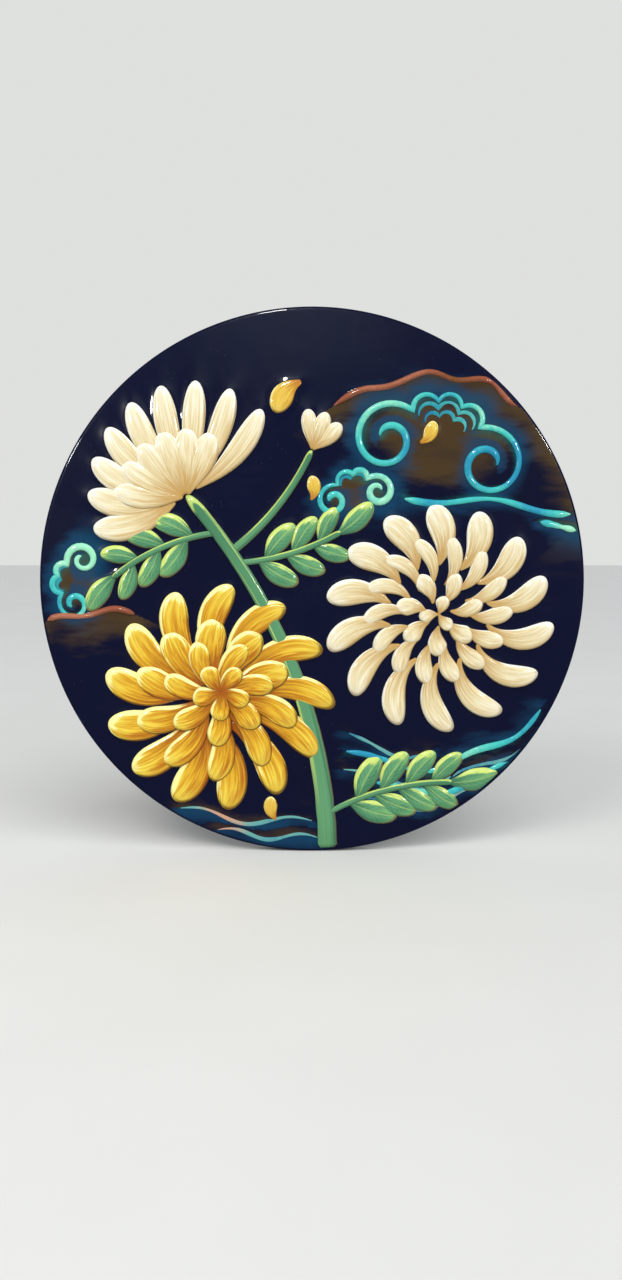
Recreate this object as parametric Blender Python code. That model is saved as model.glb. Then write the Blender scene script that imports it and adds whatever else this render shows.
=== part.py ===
"""Lacquer wall plate: a round lacquered board with flowers, sprigs and clouds built up in low relief.

The plate hangs upright with its flat back on the wall plane, y = 0, and its face towards -Y.
Sizes are in metres. The places and proportions of the figures are shares of the face radius.
"""

import math

import bmesh
import bpy
import numpy as np
from mathutils import Vector
from mathutils.geometry import delaunay_2d_cdt

# The board
PLATE_DIAMETER = 0.400
BOARD_THICKNESS = 0.010
FRONT_EDGE_RADIUS = 0.0020
BACK_EDGE_CHAMFER = 0.0010
RIM_SIDES = 96
EDGE_STEPS = 2

# The relief, measured out from the face
CREAM_RISE = 0.0032
GOLD_RISE = 0.0030
LAP_STEP = 0.0010
LEAF_RISE = 0.0024
STEM_RISE = 0.0028
DROP_RISE = 0.0018
CLOUD_LINE_WIDTH = 0.0046
CLOUD_LINE_RISE = 0.0014
RIDGE_WIDTH = 0.0046
RIDGE_RISE = 0.0020
RIDGE_SLOPE = 0.0085
RIM_FADE = 0.0050
RIM_CLEARANCE = 0.0008
JOIN_DISTANCE = 0.00015
CUT_MARGIN = 0.0010

# The rounded section of a raised stroke, and how coarsely the relief is faceted
DOME_POWER = 4.0
SHOULDER = 0.76
FOOT_RISE = 0.55
FOOT_LEVEL = 3.0
SWELL_POWER = 1.25
TIP_STOP = 0.83
LEAFLET_FOOT_SHARE = 0.22
LEAFLET_WIDEST = 0.52
DROP_FOOT_SHARE = 0.30
DROP_WIDEST = 0.55
COVERED = 0.97
LINE_STEP = 0.0125
TURN_STEP = math.radians(27)

# How uneven the petals are, and how their feet turn back
FOOT_TURN = 0.35
LEAST_CURL = 0.02
CURL_SWAY = 0.20
REACH_SWAY = 0.07
WIDTH_SWAY = 0.09
CREAM_SEED, SIDE_SEED, BUD_SEED = 5, 11, 15

# Blooms as rings of petals: count, inner reach, outer reach, width, curl, offset in petals
GOLD_CENTRE = (-0.37, -0.42)
GOLD_LEAN = (0.030, 0.030)
GOLD_FOOT_SHARE = 0.38
GOLD_RINGS = (
    (13, 0.130, 0.450, 0.112, -1.15, 0.15),
    (10, 0.080, 0.315, 0.108, -1.00, 0.60),
    (7, 0.035, 0.205, 0.094, -0.85, 0.25),
    (5, 0.008, 0.118, 0.070, -0.60, 0.70),
)
CREAM_CENTRE = (0.47, -0.10)
CREAM_FOOT_SHARE = 0.20
CREAM_RINGS = (
    (14, 0.190, 0.445, 0.094, 1.50, 0.50),
    (14, 0.115, 0.290, 0.064, 1.35, 0.00),
    (7, 0.050, 0.170, 0.066, 1.15, 0.25),
    (3, 0.004, 0.074, 0.050, 0.90, 0.60),
)
# The bloom seen from the side, as fans: count, first and last heading, inner and outer reach, width, curl
SIDE_CENTRE = (-0.46, 0.33)
SIDE_FANS = (
    (9, 44.0, 204.0, 0.055, 0.400, 0.094, 0.95),
    (6, 66.0, 178.0, 0.022, 0.270, 0.090, 0.60),
)
BUD_CENTRE = (0.00, 0.50)
BUD_FAN = (3, 40.0, 96.0, 0.010, 0.140, 0.062, 0.50)

# Stems: start, heading, length, width at the start, width at the end, curl
STEM_WIDEST = 0.94
STEMS = (
    ((0.06, -0.98), 91.5, 1.448, 0.076, 0.046, 0.70),
    ((-0.30, 0.13), 36.7, 0.481, 0.034, 0.026, 0.50),
)
# Sprigs: foot, heading, length of the stalk, its curl, pairs of leaflets, length and width of a leaflet
SPRIG_STALK = 0.024
SPRIG_FIRST = 0.22
SPRIG_END = 0.96
SPRIG_TAPER = 0.22
SPRIG_SPREAD = math.radians(52)
SPRIG_STAGGER = 0.03
SPRIG_CURL = 0.45
SPRIGS = (
    ((0.06, -0.86), 30.0, 0.50, -0.55, 4, 0.190, 0.088),
    ((-0.27, 0.09), 4.0, 0.40, 0.45, 3, 0.170, 0.080),
    ((-0.36, 0.20), 188.0, 0.42, 0.55, 3, 0.170, 0.080),
)
# Falling petals in gold: place, heading, length, width, curl
DROPS = (
    ((-0.05, 0.74), 200.0, 0.140, 0.086, 1.3),
    ((0.00, 0.325), 60.0, 0.086, 0.052, 1.3),
    ((0.40, 0.53), 25.0, 0.090, 0.054, 1.4),
    ((-0.14, -0.88), 130.0, 0.090, 0.054, -1.2),
)
# Scroll clouds: centre, size, tilt in degrees, lobes between the scrolls, winding of each scroll in turns
SCROLL_SPREAD = 0.64
SCROLL_RADIUS = 0.46
SCROLL_START = math.radians(62)
SCROLL_SHRINK = 0.76
CROWN_LIFT = 0.24
LOBE_LIFT = 0.42
CLOUDS = (
    ((0.46, 0.495), 0.295, -14.0, 3, 1.30),
    ((0.16, 0.335), 0.130, 12.0, 2, 1.30),
    ((-0.865, 0.02), 0.130, 78.0, 2, 1.25),
)
# Wavy lines: start, end, bulge, waves, depth of a wave
CLOUD_TAILS = (
    ((0.98, 0.27), (0.34, 0.325), -0.012, 1.5, 0.014),
    ((1.00, 0.20), (0.84, 0.24), -0.010, 0.5, 0.008),
    ((0.13, -0.62), (0.86, -0.46), -0.130, 2.0, 0.018),
    ((0.24, -0.74), (0.74, -0.66), -0.070, 1.5, 0.014),
)
# Ridges: start, end, bulge, waves, depth of a wave, and the side they slope to, 1 for left, -1 for right
RIDGES = (
    ((0.08, 0.66), (0.98, 0.30), 0.275, 4.5, 0.014, -1),
    ((-1.02, -0.15), (-0.66, -0.10), 0.030, 1.5, 0.012, -1),
)

FACE_RADIUS = PLATE_DIAMETER / 2 - FRONT_EDGE_RADIUS
RELIEF_RADIUS = FACE_RADIUS - RIM_CLEARANCE


def sway(number, kind):
    """A fixed, uneven value between -1 and 1 for the petal of this number."""
    return math.sin(12.9898 * number + 78.233 * kind + 1.7)


def onto_face(place):
    """A place given in shares of the face radius, in metres."""
    return place[0] * FACE_RADIUS, place[1] * FACE_RADIUS


class Petal:
    """A raised, round-ended stroke along an arc: a petal, a leaflet, a stem or a drop."""

    def __init__(
        self, foot, heading, length, width, curl, rise, level=0.0, foot_share=0.22, widest=0.66, sides=5
    ):
        self.foot = foot
        self.heading = heading
        self.length = length
        self.half = width / 2
        self.curl = curl
        self.rise = rise
        self.level = level
        self.foot_share = foot_share
        self.widest = widest
        self.sides = sides
        self.bend = length / curl
        self.hub = (foot[0] - self.bend * math.sin(heading), foot[1] + self.bend * math.cos(heading))

    def half_width(self, t):
        if t >= self.widest:
            past = (t - self.widest) / (1 - self.widest)
            return self.half * math.sqrt(max(0.0, 1 - past * past))
        swell = math.sin(math.pi / 2 * t / self.widest) ** SWELL_POWER
        return self.half * (self.foot_share + (1 - self.foot_share) * swell)

    def at(self, t, aside):
        """The point at share t along the arc and this far to its left."""
        angle = self.heading + self.curl * t
        reach = self.bend - aside
        return self.hub[0] + reach * math.sin(angle), self.hub[1] - reach * math.cos(angle)

    def loop(self, share):
        """A closed loop round the petal, at this share of its outline."""
        stops = [self.widest * step / (self.sides - 2) for step in range(self.sides - 1)]
        stops.append(self.widest + (1 - self.widest) * TIP_STOP)
        foot_end = -share * self.half * self.foot_share / self.length
        points = [self.at(foot_end, 0.0)]
        for t in stops:
            points.append(self.at(self.shrunk(t, share), share * self.half_width(t)))
        points.append(self.at(self.shrunk(1.0, share), 0.0))
        for t in reversed(stops):
            points.append(self.at(self.shrunk(t, share), -share * self.half_width(t)))
        return points

    def shrunk(self, t, share):
        return t if t < self.widest else self.widest + share * (t - self.widest)

    def spine(self):
        return [self.at(t, 0.0) for t in (0.12, self.widest * 0.6, self.widest + 0.3 * (1 - self.widest))]

    def outness(self, x, z):
        """Nought on the petal's spine, one on its outline and more outside, for arrays of points."""
        across, up = x - self.hub[0], z - self.hub[1]
        side = 1.0 if self.bend > 0 else -1.0
        turned = np.arctan2(across * side, -up * side) - self.heading
        turned = (turned + math.pi) % (2 * math.pi) - math.pi
        t = turned / self.curl
        aside = np.abs(abs(self.bend) - np.hypot(across, up))
        inside = np.clip(t, 0.0, self.widest)
        swell = np.sin(math.pi / 2 * inside / self.widest) ** SWELL_POWER
        half = self.half * (self.foot_share + (1 - self.foot_share) * swell)
        past = np.maximum(t - self.widest, 0.0) / (1 - self.widest)
        before = np.maximum(-t, 0.0) * self.length / (self.half * self.foot_share)
        return np.sqrt((aside / half) ** 2 + past**2 + before**2)

    def height(self, x, z):
        out = self.outness(x, z)
        dome = np.sqrt(np.maximum(0.0, 1 - np.minimum(out, 1.0) ** DOME_POWER))
        near_foot = np.hypot(x - self.foot[0], z - self.foot[1]) / (self.widest * self.length)
        swell = FOOT_RISE + (1 - FOOT_RISE) * np.minimum(near_foot, 1.0)
        lifted = self.level * np.minimum(1.0, dome * FOOT_LEVEL)
        return np.where(out < 1.0, lifted + self.rise * swell * dome, 0.0)

    def near(self, x, z):
        """True where any of these points may lie on the petal."""
        reach = self.length + 2 * self.half
        return np.any(np.hypot(x - self.foot[0], z - self.foot[1]) < reach)


class Line:
    """A raised line of even width along a path. A slope runs down from its crest to one side."""

    def __init__(self, path, width, rise, slope=0.0):
        self.path = path
        self.half = width / 2
        self.rise = rise
        self.slope = slope

    def beside(self, aside):
        """The path moved this far to its left."""
        moved = []
        for number, (x, z) in enumerate(self.path):
            before = self.path[max(0, number - 1)]
            after = self.path[min(len(self.path) - 1, number + 1)]
            along = math.atan2(after[1] - before[1], after[0] - before[0])
            moved.append((x - aside * math.sin(along), z + aside * math.cos(along)))
        return moved

    def distance(self, x, z):
        """Distance from the path, and true on its left side, for arrays of points."""
        ends = np.array(self.path)
        start, run = ends[:-1], ends[1:] - ends[:-1]
        across, up = np.subtract.outer(x, start[:, 0]), np.subtract.outer(z, start[:, 1])
        t = np.clip((across * run[:, 0] + up * run[:, 1]) / (run**2).sum(axis=1), 0.0, 1.0)
        away = np.hypot(across - t * run[:, 0], up - t * run[:, 1])
        nearest = away.argmin(axis=1)
        row = np.arange(len(away))
        left = (up * run[:, 0] - across * run[:, 1])[row, nearest] > 0
        return away[row, nearest], left

    def height(self, x, z):
        away, left = self.distance(x, z)
        dome = self.rise * np.sqrt(np.maximum(0.0, 1 - (away / self.half) ** 2))
        if self.slope:
            down = self.rise * np.maximum(0.0, 1 - away / abs(self.slope)) ** 2
            dome = np.where(left == (self.slope > 0), np.maximum(dome, down), dome)
        return dome

    def rows(self):
        left = self.slope if self.slope > 0 else self.half
        right = -self.slope if self.slope < 0 else self.half
        return [self.beside(left), self.path, self.beside(-right)]


def bloom_petal(centre, angle, ring, turn, number, seed, **form):
    """One petal of a bloom, whose foot turns back against its curl so that it stays about its angle."""
    inner, outer, width = ring
    reach = outer * (1 + REACH_SWAY * sway(number, seed))
    wide = width * (1 + WIDTH_SWAY * sway(number, seed + 1))
    foot = (centre[0] + inner * math.cos(angle), centre[1] + inner * math.sin(angle))
    heading = angle - turn * FOOT_TURN
    return Petal(onto_face(foot), heading, (reach - inner) * FACE_RADIUS, wide * FACE_RADIUS, turn, **form)


def ring_petals(centre, ring, seed, **form):
    """One ring of a bloom. Its petals all curl the same way, as in a whirl."""
    count, inner, outer, width, curl, offset = ring
    petals = []
    for number in range(count):
        angle = 2 * math.pi * (number + offset) / count
        turn = curl * (1 + CURL_SWAY * sway(number, seed + 2))
        petals.append(bloom_petal(centre, angle, (inner, outer, width), turn, number, seed, **form))
    return petals


def fan_petals(centre, fan, seed, **form):
    """An open fan of petals that curl upwards, from its first heading to its last."""
    count, first, last, inner, outer, width, curl = fan
    petals = []
    for number in range(count):
        angle = math.radians(first + (last - first) * number / (count - 1))
        turn = curl * math.cos(angle) or LEAST_CURL
        petals.append(bloom_petal(centre, angle, (inner, outer, width), turn, number, seed, **form))
    return petals


def golden_bloom():
    petals = []
    for number, ring in enumerate(GOLD_RINGS):
        share = number / (len(GOLD_RINGS) - 1)
        centre = (GOLD_CENTRE[0] + GOLD_LEAN[0] * share, GOLD_CENTRE[1] + GOLD_LEAN[1] * share)
        form = {"rise": GOLD_RISE, "level": LAP_STEP * number, "foot_share": GOLD_FOOT_SHARE}
        petals += ring_petals(centre, ring, number, sides=4 if number else 5, **form)
    return petals


def cream_bloom():
    petals = []
    for number, ring in enumerate(CREAM_RINGS):
        form = {"rise": CREAM_RISE, "foot_share": CREAM_FOOT_SHARE}
        petals += ring_petals(CREAM_CENTRE, ring, CREAM_SEED + number, sides=4 if number else 5, **form)
    return petals


def side_bloom():
    petals = []
    for number, fan in enumerate(SIDE_FANS):
        form = {"rise": CREAM_RISE, "level": LAP_STEP * number}
        petals += fan_petals(SIDE_CENTRE, fan, SIDE_SEED + number, **form)
    return petals + fan_petals(BUD_CENTRE, BUD_FAN, BUD_SEED, rise=CREAM_RISE, sides=4)


def stalk(foot, heading, length, start_width, end_width, curl):
    return Petal(
        onto_face(foot),
        math.radians(heading),
        length * FACE_RADIUS,
        end_width * FACE_RADIUS,
        curl,
        STEM_RISE,
        foot_share=start_width / end_width,
        widest=STEM_WIDEST,
        sides=7,
    )


def sprig(foot, heading, length, curl, pairs, leaflet_length, leaflet_width):
    """A stalk with pairs of leaflets that lean forward, and one at its end."""
    stem = stalk(foot, heading, length, SPRIG_STALK, SPRIG_STALK, curl)
    leaflets = []
    for pair in range(pairs):
        share = SPRIG_FIRST + (1 - SPRIG_FIRST) * pair / pairs
        size = 1 - SPRIG_TAPER * pair / pairs
        for side in (-1, 1):
            aim = stem.heading + curl * share + side * SPRIG_SPREAD
            place = stem.at(share + SPRIG_STAGGER * side, 0.0)
            leaflets.append((place, aim, size, -side * SPRIG_CURL))
    leaflets.append((stem.at(SPRIG_END, 0.0), stem.heading + curl, 1.0, SPRIG_CURL))
    made = [stem]
    for place, aim, size, turn in leaflets:
        long, wide = leaflet_length * size * FACE_RADIUS, leaflet_width * size * FACE_RADIUS
        form = {"foot_share": LEAFLET_FOOT_SHARE, "widest": LEAFLET_WIDEST, "sides": 4}
        made.append(Petal(place, aim, long, wide, turn, LEAF_RISE, **form))
    return made


def drops():
    made = []
    for foot, heading, length, width, curl in DROPS:
        long, wide = length * FACE_RADIUS, width * FACE_RADIUS
        form = {"foot_share": DROP_FOOT_SHARE, "widest": DROP_WIDEST}
        made.append(Petal(onto_face(foot), math.radians(heading), long, wide, curl, DROP_RISE, **form))
    return made


def arc_points(centre, radius, first, last, shrink=0.0):
    """Points along an arc, or along a scroll if the radius shrinks on the way."""
    turn = abs(last - first)
    length = turn * radius * (1 - shrink / 2) * FACE_RADIUS
    steps = max(2, round(length / LINE_STEP), round(turn / TURN_STEP))
    points = []
    for step in range(steps + 1):
        share = step / steps
        angle = first + (last - first) * share
        reach = radius * (1 - shrink * share)
        points.append((centre[0] + reach * math.cos(angle), centre[1] + reach * math.sin(angle)))
    return points


def scallop(start, end, lift):
    """An arc from start to end that rises to its left by this share of their distance."""
    chord = math.hypot(end[0] - start[0], end[1] - start[1])
    rise = lift * chord
    radius = (chord * chord / 4 + rise * rise) / (2 * rise)
    along = math.atan2(end[1] - start[1], end[0] - start[0])
    middle = ((start[0] + end[0]) / 2, (start[1] + end[1]) / 2)
    drop = radius - rise
    centre = (middle[0] + drop * math.sin(along), middle[1] - drop * math.cos(along))
    half_turn = math.acos(max(-1.0, min(1.0, drop / radius)))
    up = along + math.pi / 2
    return arc_points(centre, radius, up + half_turn, up - half_turn)


def cloud_path(size, lobes, turns):
    """A cloud's outline about nought: a scroll that winds in on each side, and lobes between them."""
    left = arc_points(
        (-SCROLL_SPREAD * size, 0.0),
        SCROLL_RADIUS * size,
        SCROLL_START,
        SCROLL_START + turns * 2 * math.pi,
        SCROLL_SHRINK,
    )
    right = [(-x, z) for x, z in left]
    arch = scallop(left[0], right[0], CROWN_LIFT)
    cusps = [arch[round(number * (len(arch) - 1) / lobes)] for number in range(lobes + 1)]
    crown = []
    for first, last in zip(cusps, cusps[1:]):
        crown += scallop(first, last, LOBE_LIFT)[(1 if crown else 0) :]
    return list(reversed(left))[:-1] + crown + right[1:]


def placed(path, centre, tilt):
    c, s = math.cos(math.radians(tilt)), math.sin(math.radians(tilt))
    return [(centre[0] + c * x - s * z, centre[1] + s * x + c * z) for x, z in path]


def wavy_path(start, end, bulge, waves, depth):
    """A bulged line with waves along it."""
    dx, dz = end[0] - start[0], end[1] - start[1]
    length = math.hypot(dx, dz)
    steps = max(6, round(length * 1.15 * FACE_RADIUS / LINE_STEP))
    points = []
    for step in range(steps + 1):
        t = step / steps
        aside = bulge * 4 * t * (1 - t) + depth * math.sin(2 * math.pi * waves * t)
        points.append((start[0] + dx * t - dz / length * aside, start[1] + dz * t + dx / length * aside))
    return points


def cloud_lines():
    paths = [wavy_path(*tail) for tail in CLOUD_TAILS]
    for centre, size, tilt, lobes, turns in CLOUDS:
        paths.append(placed(cloud_path(size, lobes, turns), centre, tilt))
    return [Line([onto_face(point) for point in path], CLOUD_LINE_WIDTH, CLOUD_LINE_RISE) for path in paths]


def ridges():
    made = []
    for *shape, side in RIDGES:
        path = [onto_face(point) for point in wavy_path(*shape)]
        made.append(Line(path, RIDGE_WIDTH, RIDGE_RISE, side * RIDGE_SLOPE))
    return made


def figures():
    """Every raised figure, from the lowest to the one on top."""
    made = ridges() + cloud_lines() + [stalk(*stem) for stem in STEMS]
    for one in SPRIGS:
        made += sprig(*one)
    return made + drops() + cream_bloom() + side_bloom() + golden_bloom()


def held_in(x, z):
    """Draws a point in to the edge of the relief."""
    reach = math.hypot(x, z)
    if reach <= RELIEF_RADIUS:
        return x, z
    return x * RELIEF_RADIUS / reach, z * RELIEF_RADIUS / reach


def relief_height(made, x, z):
    high = np.zeros(len(x))
    for one in made:
        high = np.maximum(high, one.height(x, z))
    fade = np.clip((FACE_RADIUS - np.hypot(x, z)) / RIM_FADE, 0.0, 1.0)
    return high * fade * (2 - fade)


def face_lines(made):
    """The loops and rows of points that the relief is cut along, less those under a later figure."""
    points, edges = [], []
    for order, one in enumerate(made):
        if isinstance(one, Petal):
            rows = [(one.loop(1.0), True), (one.loop(SHOULDER), True), (one.spine(), False)]
        else:
            rows = [(row, False) for row in one.rows()]
        for row, closed in rows:
            x, z = np.array(row).T
            hidden = np.hypot(x, z) > RELIEF_RADIUS + CUT_MARGIN
            for later in made[order + 1 :]:
                if isinstance(later, Petal) and later.near(x, z):
                    hidden |= later.outness(x, z) < COVERED
            start = len(points)
            kept = {}
            count = len(row)
            for number, (px, pz) in enumerate(row):
                before = (number - 1) % count if closed else max(0, number - 1)
                after = (number + 1) % count if closed else min(count - 1, number + 1)
                if hidden[number] and hidden[before] and hidden[after]:
                    continue
                kept[number] = start + len(kept)
                points.append(held_in(px, pz))
            for number in range(count if closed else count - 1):
                after = (number + 1) % count
                if number in kept and after in kept and not (hidden[number] and hidden[after]):
                    edges.append((kept[number], kept[after]))
    return points, edges


def rim_ring(radius):
    step = 2 * math.pi / RIM_SIDES
    return [(radius * math.cos(step * side), radius * math.sin(step * side)) for side in range(RIM_SIDES)]


def rim_profile():
    """Radius and distance out from the wall, from just past the face's edge round to the back."""
    radius = PLATE_DIAMETER / 2
    rows = []
    for step in range(1, EDGE_STEPS + 1):
        angle = math.pi / 2 * step / EDGE_STEPS
        out = BOARD_THICKNESS - FRONT_EDGE_RADIUS * (1 - math.cos(angle))
        rows.append((FACE_RADIUS + FRONT_EDGE_RADIUS * math.sin(angle), out))
    return rows + [(radius, BACK_EDGE_CHAMFER), (radius - BACK_EDGE_CHAMFER, 0.0)]


def plate_mesh():
    made = figures()
    points, edges = face_lines(made)
    rim_edges = [(side, (side + 1) % RIM_SIDES) for side in range(RIM_SIDES)]
    edges = rim_edges + [(a + RIM_SIDES, b + RIM_SIDES) for a, b in edges]
    flat = [Vector(point) for point in rim_ring(FACE_RADIUS) + points]
    found = delaunay_2d_cdt(flat, edges, [], 0, JOIN_DISTANCE)
    face_points, face_triangles, origins = found[0], found[2], found[3]
    x = np.array([point[0] for point in face_points])
    z = np.array([point[1] for point in face_points])
    out = BOARD_THICKNESS + relief_height(made, x, z)
    vertices = [(px, -py, pz) for px, py, pz in zip(x, out, z)]
    on_rim = {}
    for number, came_from in enumerate(origins):
        for source in came_from:
            if source < RIM_SIDES:
                on_rim[source] = number
    triangles = [tuple(triangle) for triangle in face_triangles]
    row = [on_rim[side] for side in range(RIM_SIDES)]
    for radius, away in rim_profile():
        next_row = []
        for px, pz in rim_ring(radius):
            next_row.append(len(vertices))
            vertices.append((px, -away, pz))
        for side in range(RIM_SIDES):
            other = (side + 1) % RIM_SIDES
            triangles.append((row[side], next_row[side], next_row[other]))
            triangles.append((row[side], next_row[other], row[other]))
        row = next_row
    triangles.append(tuple(row))
    return vertices, triangles


def outward(mesh):
    """Turns the faces the same way, outwards."""
    work = bmesh.new()
    work.from_mesh(mesh)
    bmesh.ops.recalc_face_normals(work, faces=work.faces)
    work.to_mesh(mesh)
    work.free()


def lacquer_material():
    material = bpy.data.materials.new("navy_lacquer")
    material.use_nodes = True
    shader = material.node_tree.nodes["Principled BSDF"]
    shader.inputs["Base Color"].default_value = (0.004, 0.006, 0.022, 1.0)
    shader.inputs["Roughness"].default_value = 0.12
    shader.inputs["Metallic"].default_value = 0.0
    return material


for old in list(bpy.data.objects):
    bpy.data.objects.remove(old)

plate_vertices, plate_faces = plate_mesh()
plate = bpy.data.meshes.new("lacquer_plate")
plate.from_pydata(plate_vertices, [], plate_faces)
outward(plate)
plate.materials.append(lacquer_material())
bpy.context.scene.collection.objects.link(bpy.data.objects.new("lacquer_plate", plate))
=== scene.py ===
# %% [markdown]
# # A lacquer wall plate in low relief
# The real plate is a round board, sealed and polished with many coats of navy lacquer. Petals, leaves and
# lines are built up on it with a stiff paste, painted, and sealed under the same clear gloss.
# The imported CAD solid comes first. It gives the true size and place, and every piece below is fitted to it.

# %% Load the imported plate
import math

import bpy
import numpy as np
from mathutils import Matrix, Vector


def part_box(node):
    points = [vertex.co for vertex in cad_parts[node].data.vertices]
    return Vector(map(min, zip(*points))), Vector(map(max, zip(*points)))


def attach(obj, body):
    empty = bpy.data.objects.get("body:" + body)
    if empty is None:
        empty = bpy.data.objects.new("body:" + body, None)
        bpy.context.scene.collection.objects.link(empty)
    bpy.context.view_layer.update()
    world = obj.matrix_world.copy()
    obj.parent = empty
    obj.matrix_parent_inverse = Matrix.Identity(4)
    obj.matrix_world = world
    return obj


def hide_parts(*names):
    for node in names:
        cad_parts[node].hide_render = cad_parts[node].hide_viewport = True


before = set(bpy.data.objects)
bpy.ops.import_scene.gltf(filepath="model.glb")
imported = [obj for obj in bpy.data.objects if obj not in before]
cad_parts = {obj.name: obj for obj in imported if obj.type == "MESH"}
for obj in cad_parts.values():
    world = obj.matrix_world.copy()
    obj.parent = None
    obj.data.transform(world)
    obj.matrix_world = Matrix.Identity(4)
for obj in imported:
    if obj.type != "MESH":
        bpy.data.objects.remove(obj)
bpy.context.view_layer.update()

low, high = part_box("lacquer_plate")
print("plate box in mm:", [round(1000 * (b - a), 1) for a, b in zip(low, high)])

# %% [markdown]
# ## Sizes
# The figures are placed in shares of the face's radius, as on the CAD solid, so that paint and relief meet.
# Heights and line widths are real sizes. Only what the eye needs finer than the solid is new here.

# %% Name the sizes
PLATE_RADIUS = high.x
BOARD_THICKNESS = 0.010
FRONT_EDGE_RADIUS = 0.0020
BACK_EDGE_CHAMFER = 0.0010
FACE_RADIUS = PLATE_RADIUS - FRONT_EDGE_RADIUS
RIM_CLEARANCE = 0.0008
RIM_FADE = 0.0050
CREAM_RISE = 0.0032
GOLD_RISE = 0.0030
LAP_STEP = 0.0010
LEAF_RISE = 0.0024
STEM_RISE = 0.0028
DROP_RISE = 0.0018
print("face radius:", round(FACE_RADIUS * 1000, 1), "mm")

# %% [markdown]
# ## Camera
# The photo was taken from close by, a little above the middle of the leaning plate. With the plate upright,
# that is the same as a camera just above its centre line that looks slightly down. The lens and distance
# were worked out from the plate's outline in the picture. Paint colours are shown as they are, with no film
# look on top.

# %% Place the camera
CAMERA_DISTANCE = 0.7160
CAMERA_HEIGHT = 0.0415
CAMERA_ASIDE = -0.0007
CAMERA_PITCH = math.radians(6.5)
SENSOR_HEIGHT = 36.0
PICTURE_ROWS = 1280
FOCAL_ROWS = 962
lens = bpy.data.cameras.new("camera")
lens.sensor_fit = "VERTICAL"
lens.sensor_height = SENSOR_HEIGHT
lens.lens = SENSOR_HEIGHT * FOCAL_ROWS / PICTURE_ROWS
lens.clip_start = 0.01
camera = bpy.data.objects.new("camera", lens)
camera.location = (CAMERA_ASIDE, -CAMERA_DISTANCE, CAMERA_HEIGHT)
camera.rotation_euler = (math.pi / 2 - CAMERA_PITCH, 0.0, 0.0)
bpy.context.scene.collection.objects.link(camera)
bpy.context.scene.camera = camera
bpy.context.scene.view_settings.view_transform = "Standard"
print("lens:", round(lens.lens, 1), "mm at", CAMERA_DISTANCE, "m")

# %% [markdown]
# ## Node trees in few words
# Every effect here is a small node tree. A number in such a tree is added and multiplied as on paper, and
# each sum puts one Math node into the tree. So a tree further down reads like the formula it stands for.


# %% Numbers in a node tree
class Number:
    """A value in a node tree. Each sum that is written with it adds one Math node."""

    def __init__(self, socket):
        self.socket = socket
        self.tree = socket.id_data

    def __add__(self, other):
        return math_node("ADD", self, other)

    def __sub__(self, other):
        return math_node("SUBTRACT", self, other)

    def __rsub__(self, other):
        return math_node("SUBTRACT", other, self)

    def __mul__(self, other):
        return math_node("MULTIPLY", self, other)

    def __truediv__(self, other):
        return math_node("DIVIDE", self, other)

    def __pow__(self, other):
        return math_node("POWER", self, other)

    def __neg__(self):
        return self * -1.0


def math_node(operation, *terms):
    """One Math node, in the tree that its terms belong to."""
    tree = next(term.tree for term in terms if isinstance(term, Number))
    node = add(tree, "ShaderNodeMath", {"operation": operation})
    for socket, term in zip(node.inputs, terms):
        put(socket, term)
    return Number(node.outputs[0])


def least(a, b):
    return math_node("MINIMUM", a, b)


def most(a, b):
    return math_node("MAXIMUM", a, b)


def sine(angle):
    return math_node("SINE", angle)


def cosine(angle):
    return math_node("COSINE", angle)


def root(value):
    return math_node("SQRT", value)


# %% Helpers for node trees
def put(socket, value):
    """Links a number or a socket to a node's input, or sets the input to a plain value."""
    value = value.socket if isinstance(value, Number) else value
    if isinstance(value, bpy.types.NodeSocket):
        socket.id_data.links.new(value, socket)
    else:
        socket.default_value = value


def add(tree, kind, settings=None, **inputs):
    node = tree.nodes.new(kind)
    for name, value in (settings or {}).items():
        setattr(node, name, value)
    for name, value in inputs.items():
        put(node.inputs[name.replace("_", " ")], value)
    return node


def named(sockets):
    return {socket.name: Number(socket) for socket in sockets}


def new_tree(name, kind, inputs, outputs):
    """A tree, what it is given by name, and the sockets that take its results."""
    tree = bpy.data.node_groups.new(name, kind)
    for label, socket, value in inputs:
        made = tree.interface.new_socket(label, in_out="INPUT", socket_type=socket)
        if value is not None:
            made.default_value = value
    for label, socket in outputs:
        tree.interface.new_socket(label, in_out="OUTPUT", socket_type=socket)
    given, result = tree.nodes.new("NodeGroupInput"), tree.nodes.new("NodeGroupOutput")
    return tree, named(given.outputs), result.inputs


def noise_in(place, scale, detail=2.0, roughness=0.5):
    settings = {"Vector": place, "Scale": scale, "Detail": detail, "Roughness": roughness}
    return Number(add(place.id_data, "ShaderNodeTexNoise", **settings).outputs["Fac"])


# %% [markdown]
# ## One stroke
# A petal, a leaflet, a stem and a falling petal are all the same thing: one round-ended dab of paste laid
# along an arc. It could be sculpted, but a rule gives it in one go: walk along an arc, swell the width, and
# round the height off towards the edge. Here is that rule in plain numbers. It also shapes the soft fillets
# that the lacquer leaves at the feet of the strokes.

# %% The stroke's rule
FOOT_RISE = 0.55
DOME_POWER = 4.0
SWELL_POWER = 1.25
QUARTER = math.pi / 2
PLACE_VALUES = ("foot_x", "foot_z", "heading", "length", "half", "curl")
FORM_VALUES = ("rise", "level", "foot_share", "widest", "cup", "tone")
PLAIN_FORM = {"level": 0.0, "foot_share": 0.22, "widest": 0.66, "cup": 0.0, "tone": 0.0}
STROKE_VALUES = PLACE_VALUES + FORM_VALUES


def sway(number, kind):
    """A fixed, uneven value between -1 and 1 for the petal of this number."""
    return math.sin(12.9898 * number + 78.233 * kind + 1.7)


def on_face(place):
    """A place given in shares of the face's radius, in metres."""
    return place[0] * FACE_RADIUS, place[1] * FACE_RADIUS


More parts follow.
